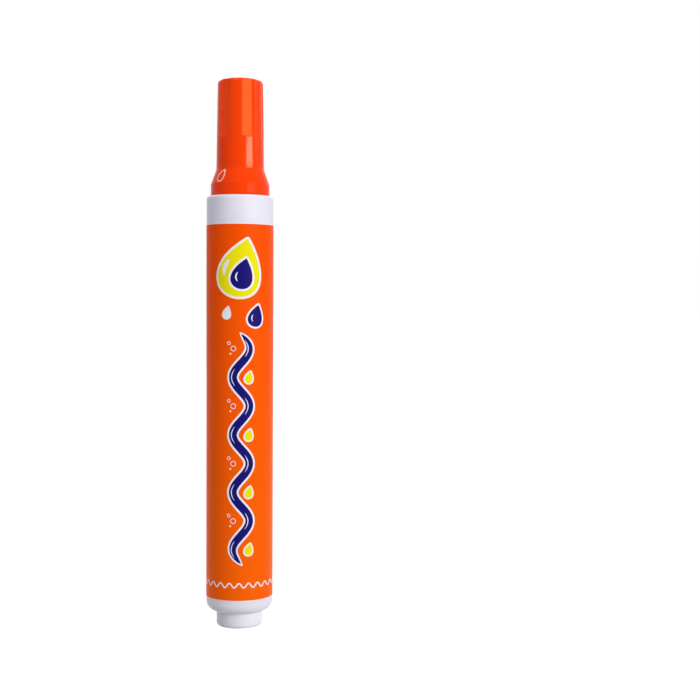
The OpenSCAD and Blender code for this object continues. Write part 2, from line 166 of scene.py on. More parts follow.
# Label. A printed film, wrapped once round the barrel from behind, where its end laps over
# its start. It is white film, and the print stops just short of the cut edges.
label_low, label_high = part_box("label_sleeve")
LABEL_FOOT = label_low.z
LABEL_TOP = label_high.z
BARREL_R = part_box("barrel")[1].x
FILM_R = BARREL_R + 0.07 * MM
LAP = 0.024 * MM
LAP_WIDTH = 2.6 * MM
LAP_EDGE = 0.04 * MM
LAP_ZONE = 2.2 * LAP_EDGE
BARE_EDGE = 0.16 * MM
LABEL_COLUMNS = 720
LAP_COLUMNS = 10
MERGED = 1e-8
SHARP = math.radians(38)
# The orange ground is painted light: a lighter, more orange foot, as lit from the floor below, and a
# darker, redder top in painted shade.
LIT_ORANGE_FOOT = (0.95, 0.125, 0.002, 1)
SHADED_ORANGE_TOP = (0.94, 0.080, 0.001, 1)
FILM_WHITE = (0.85, 0.84, 0.86, 1)
DOT_SCALE = 9000
DOT_SHADE = (0.97, 1.03)
STUCK_SCALE = 260
STUCK_DEPTH = 0.012 * MM
FILM_ROUGHNESS = (0.36, 0.46)


def surface(name, points, wrap_rows=False):
    """A mesh through a grid of points, rows by columns. Each four neighbours make a face. The last column
    joins the first, and so does the last row where rows wrap. Rows that shrink to a point are merged into
    it, and faces are turned outwards, by the sign of the volume that they close."""
    rows, columns = points.shape[:2]
    index = np.arange(rows * columns).reshape(rows, columns)
    if wrap_rows:
        index = np.vstack([index, index[:1]])
    index = np.hstack([index, index[:, :1]])
    faces = np.stack([index[:-1, :-1], index[:-1, 1:], index[1:, 1:], index[1:, :-1]], -1).reshape(-1, 4)
    flat = points.reshape(-1, 3)
    a, b, c, d = (flat[faces[:, k]] for k in range(4))
    volume = np.einsum("ij,ij->", a, np.cross(b, c)) + np.einsum("ij,ij->", a, np.cross(c, d))
    if volume < 0:
        faces = faces[:, ::-1]
    mesh = bpy.data.meshes.new(name)
    mesh.from_pydata(flat, [], faces)
    work = bmesh.new()
    work.from_mesh(mesh)
    bmesh.ops.remove_doubles(work, verts=work.verts, dist=MERGED)
    work.to_mesh(mesh)
    work.free()
    mesh.shade_smooth()
    mesh.set_sharp_from_angle(angle=SHARP)
    piece = bpy.data.objects.new(name, mesh)
    bpy.context.scene.collection.objects.link(piece)
    return piece


def round_axis(angle, radius, height):
    """Points at an angle round the axis from the front, a radius and a height, which may be arrays."""
    angle, radius, height = np.broadcast_arrays(angle, radius, height)
    return np.stack([radius * np.sin(angle), -radius * np.cos(angle), height], -1)


def finish_piece(piece, material, body, slot, *replaced):
    """Gives a piece its material and its body, and hides what it stands for. The slot is not used."""
    piece.data.materials.append(material)
    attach(piece, body)
    if replaced:
        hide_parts(*replaced)


def second_finish(piece, material, chosen):
    """Gives the chosen faces of a piece another material."""
    piece.data.materials.append(material)
    piece.data.polygons.foreach_set("material_index", chosen.astype(np.int32))


def ease(x):
    """0 below 0, 1 above 1, and a smooth rise between them: 3x^2 - 2x^3."""
    x = np.clip(x, 0, 1)
    return x * x * (3 - 2 * x)


def film_radius(angle):
    """Radius of the film's outer face. Behind the pen the lapped end lifts it a little, with a sharp cut
    edge on one side and a slow rise on the other, each an eased step over its own width."""
    arc = (np.mod(angle, 2 * math.pi) - math.pi) * FILM_R
    return FILM_R + LAP * ease(arc / LAP_WIDTH + 1) * ease(1 - arc / LAP_EDGE)


def film_columns():
    """Angles round the film. They are even, and close together across the lap's cut edge."""
    even = np.linspace(0, 2 * math.pi, LABEL_COLUMNS, endpoint=False)
    cut = math.pi + np.linspace(-1, 2, LAP_COLUMNS) * LAP_EDGE / FILM_R
    return np.sort(np.concatenate([even[np.abs(even - math.pi) > LAP_ZONE / FILM_R], cut]))


def printed(name, foot_colour, top_colour=None):
    """Ink under a clear glossy film. The colour runs from the foot of the label to its top. Where its two
    colours differ, as on the orange ground, that run is painted light: the foot lighter and more orange,
    the top darker and redder in painted shade. A fine noise breaks it up as dots of ink do, and a slow
    ripple bends the reflections as stuck film does."""
    material = blank(name)
    place = place_on(material)
    height = wire(material, "ShaderNodeSeparateXYZ", {"Vector": place}).outputs["Z"]
    along = wire(material, "ShaderNodeMapRange",
                 {"Value": height, "From Min": LABEL_FOOT, "From Max": LABEL_TOP}).outputs["Result"]
    run = mixed(material, along, foot_colour, top_colour or foot_colour)
    dots = between(material, noise(material, place, DOT_SCALE, detail=1), *DOT_SHADE)
    stuck = noise(material, place, STUCK_SCALE, detail=2)
    join(material, {"Base Color": mixed(material, 1, run, dots, blend_type="MULTIPLY"),
                    "Roughness": between(material, stuck, *FILM_ROUGHNESS),
                    "Normal": dented(material, stuck, strength=0.3, depth=STUCK_DEPTH),
                    "Specular IOR Level": 0.07, "Specular Tint": (1, 0.6, 0.2, 1)})
    return material


# The film's skin is a thin upright rectangle carried round the barrel. Its outer side has a
# row where the print starts and one where it stops.
print_foot = LABEL_FOOT + BARE_EDGE
print_top = LABEL_TOP - BARE_EDGE
around = film_columns()
outer = film_radius(around)
inner = np.full_like(outer, BARREL_R)
film_rows = [(inner, LABEL_FOOT), (outer, LABEL_FOOT), (outer, print_foot),
             (outer, print_top), (outer, LABEL_TOP), (inner, LABEL_TOP)]
film_skin = np.array([round_axis(around, radius, height) for radius, height in film_rows])
label = surface("label_film", film_skin, wrap_rows=True)
# The orange ground carries painted light, lighter at the foot and darker and redder at the top.
finish_piece(label, printed("orange_print_painted_light", LIT_ORANGE_FOOT, SHADED_ORANGE_TOP), "pen", "label_film", "label_sleeve")
middles = np.array([face.center.z for face in label.data.polygons])
second_finish(label, printed("bare_film", FILM_WHITE), (middles < print_foot) | (middles > print_top))


# Print. Three inks on the film: a large drop with two small ones below it, a navy ribbon
# that swings down the barrel with drops and bubbles in its bends, and a wave line round the
# foot. Each ink is a closed skin, which stands 0.006 to 0.03 mm proud of the film.
WHITE_INK = (0.86, 0.84, 0.87, 1)
YELLOW_INK = (0.84, 0.76, 0.006, 1)
NAVY_INK = (0.008, 0.007, 0.16, 1)

# Layers of ink are counted up from the film, and an ink's foot lies in the lowest of them
INK_LAYER = 0.006 * MM
INK_FOOT = 0.2
UNDER = 0
COLOURS = 1
OVER = 2
HEART_LAYER = 2.6
HEART_GLINT = 3.6

# A drop has a place, as an arc and a height, and a width and a length. White ink shows round
# it as an edge, and its own ink spreads a little past its size.
FILM_GIRTH = 2 * math.pi * FILM_R
DROP_POINTS = 96
DROP_SPAN = 1.54
TIP_GAP = 0.03
TIP_POINTS = 15
LEAN = math.radians(-14)
LARGE_DROP = (0.9 * MM, 91.6 * MM)
LARGE_SIZE = (10.8 * MM, 14.4 * MM)
LARGE_EDGE = 0.7 * MM
LARGE_SPREAD = 0.12 * MM
HEART = (1.4 * MM, 90.1 * MM)
HEART_SIZE = (5.4 * MM, 7.6 * MM)
HEART_EDGE = 0.62 * MM
HEART_SPREAD = 0.1 * MM
SECOND_DROP = (4.9 * MM, 79.6 * MM)
SECOND_SIZE = (3.9 * MM, 5.5 * MM)
SECOND_EDGE = 0.5 * MM
SECOND_SPREAD = 0.04 * MM
THIRD_DROP = (-2.6 * MM, 80.4 * MM)
THIRD_SIZE = (2.5 * MM, 3.6 * MM)
RIBBON_ARC = 1.1 * MM
RIBBON_SWING = 2.1 * MM
RIBBON_HALF = 1.0 * MM
RIBBON_EDGE = 0.48 * MM
RIBBON_TOP = 75 * MM
RIBBON_FOOT = 17.2 * MM
RIBBON_WAVES = 4
RIBBON_POINTS = 361
END_POWER = 12
END_ROUNDING = 0.75
BENDS = 2 * RIBBON_WAVES
NEST = 2.0 * MM
NEST_SIZE = (2.0 * MM, 2.9 * MM)
NEST_EDGE = 0.36 * MM
NEST_SPREAD = 0.02 * MM
BUBBLE_HALF = 0.085 * MM
BUBBLE_R = 0.62 * MM
SMALL_BUBBLE_R = 0.38 * MM
SMALL_BUBBLE = (-1.15 * MM, 1.35 * MM)
SPECK_R = 0.24 * MM
SPECK = (-0.75 * MM, -1.3 * MM)
GLINT_POINTS = 25
GLINT_START = math.radians(145)
GLINT_HALF = 0.12
GLINT_TAPER = 0.6
BEND_GLINT_HALF = 0.11 * MM
BEND_GLINT_SHIFT = -0.36 * MM
BEND_GLINT_REACH = 0.3
WAVE_Z = 11.7 * MM
WAVE_HALF = 0.17 * MM
WAVE_COUNT = 22
WAVE_POINTS = 24
WAVE_HEIGHT = 0.55 * MM


def drop(width, length, margin):
    """Outline of a water drop with its tip up, clockwise from the tip. Its half width is the sine of t
    times the sine of half of t, and its height the cosine of t, as t runs from tip to tip. It is grown by
    an even margin along its normals, with a round fan at the tip."""
    t = np.linspace(TIP_GAP, 2 * math.pi - TIP_GAP, DROP_POINTS)
    line = np.stack([np.sin(t) * np.sin(t / 2) * width / DROP_SPAN, np.cos(t) * length / 2], -1)
    run = np.gradient(line, axis=0)
    facing = np.unwrap(np.arctan2(run[:, 0], -run[:, 1]))
    fan = np.linspace(facing[-1], facing[0] - 2 * math.pi, TIP_POINTS)
    line = np.vstack([line, np.repeat((line[-1:] + line[:1]) / 2, TIP_POINTS, 0)])
    facing = np.concatenate([facing, fan])
    return line + margin * np.stack([np.cos(facing), np.sin(facing)], -1)


def disc(radius, points=40):
    """Outline of a round spot."""
    t = np.linspace(0, 2 * math.pi, points, endpoint=False)
    return radius * np.stack([np.sin(t), np.cos(t)], -1)


def placed(outline, turn, place):
    """An outline turned by an angle and moved to a place, an arc and a height on the film."""
    c, s = math.cos(turn), math.sin(turn)
    return outline @ np.array([[c, s], [-s, c]]) + place


def on_film(arc, height, lift):
    """Points at an arc from the front and a height, lifted off the film's outer face."""
    angle = arc / FILM_R
    return round_axis(angle, film_radius(angle) + lift, height)


def spot(outline, layer, rings=12):
    """Closed skin of ink inside an outline. The outline is shrunk towards its middle in even rings, laid
    on the film at that layer's height, and closed below and at its rim."""
    shares = np.concatenate([np.linspace(0, 1, rings), np.linspace(1, 0, rings)])[:, None, None]
    lifts = INK_LAYER * np.repeat([layer + 1, INK_FOOT], rings)
    middle = outline.mean(0)
    points = middle + shares * (outline - middle)
    return on_film(points[..., 0], points[..., 1], lifts[:, None]), False


def drop_spot(place, size, margin, layer, rings=12):
    """Closed skin of ink in the shape of a leaning drop of that size, grown by a margin."""
    return spot(placed(drop(*size, margin), LEAN, place), layer, rings)


def stroke(path, half_width, layer, closed, across=3):
    """Closed skin of ink along a path, as wide as twice its half width at each point. A section runs
    across the top at that layer's height and back below. A path that isn't closed has no width at its
    ends, which closes them. Steps that cross the start of the round are brought back into one turn."""
    run = np.roll(path, -1, 0) - np.roll(path, 1, 0) if closed else np.gradient(path, axis=0)
    run[:, 0] = np.mod(run[:, 0] + FILM_GIRTH / 2, FILM_GIRTH) - FILM_GIRTH / 2
    side = np.stack([-run[:, 1], run[:, 0]], -1) / np.linalg.norm(run, axis=1, keepdims=True)
    side = side * np.broadcast_to(half_width, len(path))[:, None]
    shares = np.concatenate([np.linspace(-1, 1, across), np.linspace(1, -1, across)])[:, None]
    lifts = INK_LAYER * np.repeat([layer + 1, INK_FOOT], across)
    points = path[:, None] + shares * side[:, None]
    return on_film(points[..., 0], points[..., 1], lifts), closed


def ink(name, parts, material):
    """One piece from many skins of the same ink."""
    skins = [surface(f"{name}_{k}", points, wrap_rows=closed) for k, (points, closed) in enumerate(parts)]
    whole = skins[0]
    if len(skins) > 1:
        with bpy.context.temp_override(active_object=whole, selected_editable_objects=skins):
            bpy.ops.object.join()
    whole.name = whole.data.name = name
    finish_piece(whole, material, "pen", "label_film")


def ribbon_line(share, shift=0):
    """Points down the ribbon's middle, by the share of its length from its top. It swings to both sides
    as a sine, and the shift moves it sideways."""
    return np.stack([RIBBON_ARC + shift + RIBBON_SWING * np.sin(2 * math.pi * RIBBON_WAVES * share),
                     RIBBON_TOP + (RIBBON_FOOT - RIBBON_TOP) * share], -1)


def ribbon(margin, layer):
    """The ribbon with an even margin. It keeps its width and narrows over its ends, as 1 less the
    twelfth power of the way from its middle, all to the power of three quarters."""
    reach = 1 + 2 * margin / (RIBBON_TOP - RIBBON_FOOT)
    way = np.linspace(-1, 1, RIBBON_POINTS)
    half = (RIBBON_HALF + margin) * np.clip(1 - way ** END_POWER, 0, 1) ** END_ROUNDING
    return stroke(ribbon_line(0.5 + way * reach / 2), half, layer, False, across=11)


def thinned(way):
    """Width of a glint along its way from 0 to 1: the sine of half a turn of it, to the taper's power."""
    return np.sin(math.pi * way) ** GLINT_TAPER


def glint(drop_place, offset, radius, layer, sweep):
    """A light stroke on a drop's left shoulder. It runs along an arc of a circle, whose middle lies off
    the drop's, and it is thin at both ends."""
    way = np.linspace(0, 1, GLINT_POINTS)
    angle = GLINT_START + way * math.radians(sweep)
    path = radius * np.stack([np.cos(angle), np.sin(angle)], -1)
    middle = (drop_place[0] + offset[0], drop_place[1] + offset[1])
    return stroke(placed(path, LEAN, middle), GLINT_HALF * radius * thinned(way), layer, False)


def bend_glint(bend):
    """A light stroke on the ribbon's left side, along the middle of one of its bends."""
    way = np.linspace(0, 1, GLINT_POINTS)
    share = (bend + 0.5 + BEND_GLINT_REACH * (2 * way - 1)) / BENDS
    return stroke(ribbon_line(share, BEND_GLINT_SHIFT), BEND_GLINT_HALF * thinned(way), OVER, False)


# The ribbon's bends are nests, which hold drops and bubbles by turns.
nests = []
bubbles = []
for bend in range(BENDS):
    height = ribbon_line((bend + 0.5) / BENDS)[1]
    if bend % 2:
        nests.append(np.array([RIBBON_ARC + NEST, height]))
    else:
        nest = np.array([RIBBON_ARC - NEST, height])
        bubbles += [stroke(disc(BUBBLE_R) + nest, BUBBLE_HALF, UNDER, True),
                    stroke(disc(SMALL_BUBBLE_R) + nest + SMALL_BUBBLE, BUBBLE_HALF, UNDER, True),
                    spot(disc(SPECK_R, points=20) + nest + SPECK, UNDER, rings=3)]

white_under = [drop_spot(LARGE_DROP, LARGE_SIZE, LARGE_EDGE, UNDER, rings=24), ribbon(RIBBON_EDGE, UNDER),
               drop_spot(SECOND_DROP, SECOND_SIZE, SECOND_EDGE, UNDER),
               drop_spot(THIRD_DROP, THIRD_SIZE, 0, UNDER)]
white_under += [drop_spot(nest, NEST_SIZE, NEST_EDGE, UNDER) for nest in nests]
yellow = [drop_spot(LARGE_DROP, LARGE_SIZE, LARGE_SPREAD, COLOURS, rings=24)]
yellow += [drop_spot(nest, NEST_SIZE, NEST_SPREAD, COLOURS) for nest in nests]
navy = [drop_spot(HEART, HEART_SIZE, HEART_SPREAD, HEART_LAYER, rings=18), ribbon(0, COLOURS),
        drop_spot(SECOND_DROP, SECOND_SIZE, SECOND_SPREAD, COLOURS)]
glints = [glint(HEART, (-0.1 * MM, -0.8 * MM), 1.6 * MM, HEART_GLINT, sweep=95),
          glint(LARGE_DROP, (0.2 * MM, -1.3 * MM), 4.5 * MM, OVER, sweep=58),
          glint(SECOND_DROP, (0, -0.6 * MM), 1.15 * MM, OVER, sweep=95)]
glints += [bend_glint(bend) for bend in range(BENDS)]

# The wave line is a sine that goes once round the foot of the label.
round_foot = np.linspace(0, FILM_GIRTH, WAVE_COUNT * WAVE_POINTS, endpoint=False)
wave = np.stack([round_foot, WAVE_Z + WAVE_HEIGHT * np.sin(round_foot / FILM_R * WAVE_COUNT)], -1)

white_ink = printed("white_print", WHITE_INK)
ink("print_white_under", white_under, white_ink)
ink("print_yellow", yellow, printed("yellow_print", YELLOW_INK))
ink("print_white_over", [drop_spot(HEART, HEART_SIZE, HEART_EDGE, OVER, rings=18)], white_ink)
ink("print_navy", navy, printed("navy_print", NAVY_INK))
ink("print_glints", glints, white_ink)
ink("print_bubbles", bubbles, white_ink)
ink("print_wave", [stroke(wave, WAVE_HALF, UNDER, True)], white_ink)


# Cleaning fluid. A clear liquid as thin as water, 10 ml of it, which stands in the tail of
# the barrel. The CAD solid gives its level, so the node only gets its finish.
FLUID = (0.72, 0.86, 0.93, 1)
FLUID_PALE = (0.80, 0.91, 0.96, 1)
CLOUD_SCALE = 120
fluid = blank("cleaning_fluid_clear")
cloud = noise(fluid, place_on(fluid), CLOUD_SCALE, detail=2)
join(fluid, {"Base Color": mixed(fluid, cloud, FLUID, FLUID_PALE), "Roughness": 0.03, "IOR": 1.34,
             "Transmission Weight": 0.9})
dress(fluid, "cleaning_fluid")


# Valve. Its body, stem and spring cup and the nib's carrier are moulded in uncoloured
# plastic, which looks waxy and lets light through. The washer is soft black rubber.
NATURAL = (0.83, 0.83, 0.78, 1)
NATURAL_ROUGHNESS = 0.45
NATURAL_RIPPLE = (0.6 * MM, 0.003 * MM)
NATURAL_SCATTER = (2.4, 2.2, 1.9)
RUBBER = (0.016, 0.016, 0.018, 1)
RUBBER_ROUGHNESS = 0.7
RUBBER_RIPPLE = (0.3 * MM, 0.01 * MM)
RUBBER_SCATTER = (0.1, 0.1, 0.1)
natural_plastic = moulded("natural_polypropylene", NATURAL, NATURAL_ROUGHNESS, NATURAL_RIPPLE,
                          NATURAL_SCATTER)
rubber = moulded("valve_rubber", RUBBER, RUBBER_ROUGHNESS, RUBBER_RIPPLE, RUBBER_SCATTER)
dress(natural_plastic, "valve_body", "valve_stem", "spring_cup", "nib_carrier")
dress(rubber, "valve_seal")


# Valve spring. Stainless wire, coiled with a closed turn at each end. It stands between the cup's floor
# and the stem's head. In the pen it shortens as the nib is pressed, but the wire here is built at the CAD
# spring's length only.
spring_low, spring_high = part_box("valve_spring")
WIRE_D = 0.4 * MM
COIL_R = spring_high.x - WIRE_D / 2
TURNS = 7
CLOSED = 1.1 * WIRE_D
TURN_POINTS = 48
WIRE_POINTS = 16
STEEL = (0.55, 0.56, 0.58, 1)
DRAWN_SCALE = 14000
STEEL_ROUGHNESS = (0.2, 0.36)


def coil(turn):
    """Height of the wire's middle after that many turns: a closed turn at each end, with a pitch just
    over the wire, and even open turns between them."""
    open_pitch = (spring_high.z - spring_low.z - WIRE_D - 2 * CLOSED) / (TURNS - 2)
    return (spring_low.z + WIRE_D / 2 + CLOSED * np.clip(turn, 0, 1)
            + open_pitch * np.clip(turn - 1, 0, TURNS - 2) + CLOSED * np.clip(turn - TURNS + 1, 0, 1))


def spring_skin():
    """Closed skin of the wire: a circle of the wire's radius round a middle that turns at the coil's
    radius and climbs with it. At both ends the circle is shrunk to a point."""
    turn = np.linspace(0, TURNS, TURNS * TURN_POINTS)[:, None]
    radius = np.vstack([[[0]], np.full_like(turn, WIRE_D / 2), [[0]]])
    turn = np.vstack([turn[:1], turn, turn[-1:]])
    bend = turn * 2 * math.pi
    edge = np.linspace(0, 2 * math.pi, WIRE_POINTS, endpoint=False)[None, :]
    reach = COIL_R + radius * np.cos(edge)
    return np.stack([reach * np.cos(bend), reach * np.sin(bend), coil(turn) + radius * np.sin(edge)], -1)


spring = surface("valve_spring_wire", spring_skin())
steel = blank("drawn_steel")
drawn = noise(steel, place_on(steel), DRAWN_SCALE, detail=2)
join(steel, {"Base Color": STEEL, "Metallic": 1, "Roughness": between(steel, drawn, *STEEL_ROUGHNESS)})
finish_piece(spring, steel, "pen", "spring_steel", "valve_spring")
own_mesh(spring)


# Front section. The white nib holder, plugged into the barrel's mouth. Its neck carries the
# click bead for the cap, and its nose guides the nib.
dress(white_plastic, "front_section")


# Nib. Bonded polyester felt, cut as a rod and ground round at its tip. The ends of its
# fibres leave a dull, faintly rough surface.
FELT = (0.86, 0.85, 0.80, 1)
FELT_SHADE = (0.78, 0.77, 0.72, 1)
FIBRE_SCALE = 9000
FIBRE_RUN = (1, 1, 0.12)
FIBRE_DEPTH = 0.05 * MM
felt = blank("bonded_felt")
drawn_out = wire(felt, "ShaderNodeMapping", {"Vector": place_on(felt), "Scale": FIBRE_RUN})
fibres = noise(felt, drawn_out.outputs["Vector"], FIBRE_SCALE, detail=4)
join(felt, {"Base Color": mixed(felt, fibres, FELT, FELT_SHADE), "Roughness": 0.95,
            "Normal": dented(felt, fibres, strength=0.8, depth=FIBRE_DEPTH), "Sheen Weight": 0.3,
            "Sheen Roughness": 0.6})
dress(felt, "nib")


# Cap liner. The natural inner cap, pressed into the top of the cap, whose lip closes on
# the nose so that the nib doesn't dry.
dress(natural_plastic, "cap_liner")


# Cap. Glossy orange polypropylene: a band that meets the barrel, a short cone and a slim
# drafted body with six shallow grip flats, which start at a step and run out at the top.
# The floors of the flats come from a finely eroded part of the mould, so they are duller.
cap_low, cap_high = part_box("cap_shell")
liner_low, liner_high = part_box("cap_liner")
CAP_FOOT = cap_low.z
CAP_TOP = cap_high.z
BAND_R = cap_high.x
BAND_TOP = CAP_FOOT + 2.9 * MM
CONE_TOP = BAND_TOP + 3.8 * MM
BODY_LOW_R = 6.1 * MM
BODY_TOP_R = 5.75 * MM
SKIRT_R = 5.95 * MM
SKIRT_LEAD = 0.5 * MM
SKIRT_TOP = liner_low.z
LINER_R = liner_high.x
LINER_TOP = liner_high.z
OUTSIDE_R = LINER_R + 0.1 * MM
CLICK_Z = CAP_FOOT + 2.25 * MM
CLICK_DEPTH = 0.2 * MM
GATE_R = 1.2 * MM
GATE_SLOPE = 0.1 * MM
GATE_DEPTH = 0.25 * MM
GATE_FLOOR = CAP_TOP - GATE_DEPTH
GATE_NIB = 0.18 * MM
GATE_NIB_TOP = CAP_TOP - GATE_DEPTH / 2
EDGE = 0.12 * MM
CLICK_EDGE = 0.05 * MM
CLICK_ROUND = 0.15 * MM
MOUTH_ROUND = 0.3 * MM
BAND_ROUND = 0.5 * MM
CONE_ROUND = 1.4 * MM
TOP_ROUND = 1.0 * MM
GATE_ROUND = 0.08 * MM
NIB_FOOT_ROUND = 0.06 * MM
NIB_TOP_ROUND = 0.05 * MM
POLE = 0.004 * MM
POLE_ROUND = 0.001 * MM
NEAR_AXIS = 10 * POLE
FLAT_COUNT = 6
HALF_PITCH = math.pi / FLAT_COUNT
HALF_FLAT = 1.35 * MM
FLAT_DEPTH = 0.34 * MM
FLAT_FOOT = CAP_TOP - 14.7 * MM
FLAT_FIRST = math.radians(52.7 + 90)
FLAT_EDGE = 0.08 * MM
WALL_REACH = 1.3
WALL_COLUMNS = 14
FLOOR_REACH = 1.4
FLOOR_COLUMNS = 17
LAND_COLUMNS = 16
STEP_EDGE = 0.30 * MM
STEP_ZONE = 0.22 * MM
STEP_REACH = 0.9
STEP_ROWS = 17
ROW_GAP = 1.0 * MM
IN_FLAT = 0.9
CAP_ORANGE = (0.99, 0.052, 0.0005, 1)
CAP_ROUGHNESS = 0.12
CAP_RIPPLE = (0.8 * MM, 0.002 * MM)
CAP_TINT = (1, 0.66, 0.44, 1)
CAP_SCATTER = (1.5, 0.25, 0.05)
ERODED_ROUGHNESS = 0.40
ERODED_RIPPLE = (0.12 * MM, 0.004 * MM)
ERODED_TINT = (1, 0.65, 0.15, 1)


def rounded(corners, steps=7, margin=0.03 * MM):
    """Outline through corners (r, z, radius), each taken back to an arc of its radius. The arc's points
    turn evenly from one tangent point to the other, and a point is added just before and just after
    it, so that straight stretches stay straight in the shading."""
    corners = np.asarray(corners, float)
    corner, radius = corners[:, :2], corners[:, 2:]
    back = np.roll(corner, 1, 0) - corner
    ahead = np.roll(corner, -1, 0) - corner
    back /= np.linalg.norm(back, axis=1, keepdims=True)
    ahead /= np.linalg.norm(ahead, axis=1, keepdims=True)
    half = np.arccos(np.clip((back * ahead).sum(1, keepdims=True), -1, 1)) / 2
    reach = radius / np.tan(half)
    inward = (back + ahead) / np.linalg.norm(back + ahead, axis=1, keepdims=True)
    centre = corner + inward * radius / np.sin(half)
    sweep = (math.pi - 2 * half)[:, None]
    share = np.linspace(0, 1, steps)[None, :, None]
    first = (corner + back * reach - centre)[:, None]
    last = (corner + ahead * reach - centre)[:, None]
    arc = (np.sin((1 - share) * sweep) * first + np.sin(share * sweep) * last) / np.sin(sweep)
    before = corner + back * (reach + margin)
    after = corner + ahead * (reach + margin)
    return np.concatenate([before[:, None], centre[:, None] + arc, after[:, None]], 1).reshape(-1, 2)


def fill_rows(outline, low, high, gap):
    """Adds rows between low and high wherever an outline's straight stretch has none, so that what is
    cut into it has points to bend at."""
    filled = [outline[:1]]
    for here, there in zip(outline[:-1], outline[1:]):
        rise = there[1] - here[1]
        if rise > gap and there[1] > low and here[1] < high:
            filled.append(here + (there - here) * np.linspace(0, 1, int(rise / gap) + 1)[1:-1, None])
        filled.append(there[None])
    return np.vstack(filled)


def step_rows(outline):
    """Puts close rows in place of an outline's own ones near the flats' step. Their radius runs straight
    from the body's foot to its top."""
    height = FLAT_FOOT + np.linspace(-STEP_REACH, STEP_REACH, STEP_ROWS) * STEP_ZONE
    radius = BODY_LOW_R + (BODY_TOP_R - BODY_LOW_R) * (height - CONE_TOP) / (CAP_TOP - CONE_TOP)
    near_step = (np.abs(outline[:, 1] - FLAT_FOOT) < STEP_ZONE) & (outline[:, 0] > BODY_TOP_R)
    outline = outline[~near_step]
    above_cone = (outline[:, 0] > BODY_TOP_R) & (outline[:, 1] > CONE_TOP - ROW_GAP)
    split = np.flatnonzero(above_cone & (outline[:, 1] < FLAT_FOOT))[-1] + 1
    return np.vstack([outline[:split], np.stack([radius, height], -1), outline[split:]])


def cap_columns():
    """Angles round the cap. Every flat has close columns at its two walls and even ones over its floor,
    and the land after it has even ones too."""
    wall = np.linspace(-WALL_REACH, WALL_REACH, WALL_COLUMNS) * FLAT_EDGE
    flat_floor = np.linspace(-1, 1, FLOOR_COLUMNS)[1:-1] * (HALF_FLAT - FLOOR_REACH * FLAT_EDGE)
    land = np.linspace(HALF_FLAT, 2 * HALF_PITCH * BODY_TOP_R - HALF_FLAT, LAND_COLUMNS)[1:-1]
    arcs = np.concatenate([-HALF_FLAT + wall, flat_floor, HALF_FLAT + wall, land])
    turns = np.arange(FLAT_COUNT)[:, None] * 2 * math.pi / FLAT_COUNT
    return FLAT_FIRST + (turns + np.sort(arcs / BODY_TOP_R)).ravel()


def flat_share(angle, height):
    """The angle of a point of the cap from the middle of its nearest flat, and how far the point lies
    within that flat: 1 on its floor and 0 outside, easing across its walls and its step."""
    turn = np.mod(angle - FLAT_FIRST + HALF_PITCH, 2 * HALF_PITCH) - HALF_PITCH
    sideways = ease((HALF_FLAT - np.abs(BODY_TOP_R * np.sin(turn))) / FLAT_EDGE / 2 + 0.5)
    return turn, sideways * ease((height - FLAT_FOOT) / STEP_EDGE + 0.5)


def cap_surface(angle, outline):
    """The turned cap with its flats. Within a flat the radius is held to a flat plane, which leans with
    the draft of the body, and the walls and the step ease in, so that their edges are round."""
    radius, height = outline[:, 0][:, None], outline[:, 1][:, None]
    draft = (BODY_LOW_R - BODY_TOP_R) / (CAP_TOP - CONE_TOP)
    turn, share = flat_share(angle, height)
    plane = (BODY_LOW_R - draft * (height - CONE_TOP) - FLAT_DEPTH) / np.cos(turn)
    cut = np.maximum(radius - plane, 0) * share * (radius > OUTSIDE_R)
    return round_axis(angle[None, :], radius - cut, height)


# The cap's section runs from the middle of the liner's seat down the inside, round the mouth
# and up the outside to the middle of the gate. Its ends stop just off the axis, and a point on
# the axis then closes each.
cap_outline = rounded([
    (POLE, LINER_TOP, POLE_ROUND), (LINER_R, LINER_TOP, EDGE), (LINER_R, SKIRT_TOP, EDGE),
    (SKIRT_R, SKIRT_TOP, EDGE), (SKIRT_R, CLICK_Z + CLICK_DEPTH, CLICK_EDGE),
    (SKIRT_R + CLICK_DEPTH, CLICK_Z, CLICK_ROUND), (SKIRT_R, CLICK_Z - CLICK_DEPTH, CLICK_EDGE),
    (SKIRT_R, CAP_FOOT + SKIRT_LEAD, EDGE), (SKIRT_R + SKIRT_LEAD, CAP_FOOT, EDGE),
    (BAND_R, CAP_FOOT, MOUTH_ROUND), (BAND_R, BAND_TOP, BAND_ROUND), (BODY_LOW_R, CONE_TOP, CONE_ROUND),
    (BODY_TOP_R, CAP_TOP, TOP_ROUND), (GATE_R + GATE_SLOPE, CAP_TOP, GATE_ROUND),
    (GATE_R - GATE_SLOPE, GATE_FLOOR, GATE_ROUND), (2 * GATE_NIB, GATE_FLOOR, NIB_FOOT_ROUND),
    (GATE_NIB, GATE_NIB_TOP, NIB_TOP_ROUND), (POLE, GATE_NIB_TOP, POLE_ROUND)])
off_axis = cap_outline[cap_outline[:, 0] > NEAR_AXIS]
cap_outline = np.vstack([[(0, LINER_TOP)], off_axis, [(0, GATE_NIB_TOP)]])
cap_outline = step_rows(fill_rows(cap_outline, FLAT_FOOT, CAP_TOP, ROW_GAP))
cap = surface("cap_body", cap_surface(cap_columns(), cap_outline))

